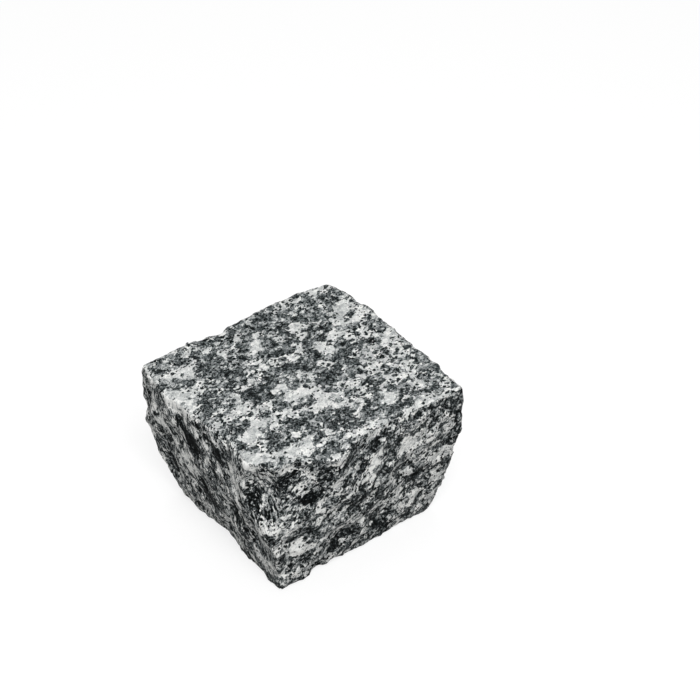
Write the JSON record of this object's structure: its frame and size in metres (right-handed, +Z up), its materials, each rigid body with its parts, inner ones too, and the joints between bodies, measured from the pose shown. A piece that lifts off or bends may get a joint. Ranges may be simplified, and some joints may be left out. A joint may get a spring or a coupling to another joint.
{
  "type": "granite sett",
  "caption": "Grey granite paving block with a flat sawn top, chipped arrises and split, tapering sides, for laying in rows.",
  "frame": {"origin": "middle of the sett's plan, on the bed it stands on", "axes": "+Z up out of the sawn top, +X to the right along the front face, +Y from the front face to the back one"},
  "size_m": [0.1127, 0.1082, 0.075],
  "materials": {
    "granite": "flamed top, split sides"
  },
  "bodies": {
    "root": {"granite_sett": "granite"}
  },
  "joints": []
}
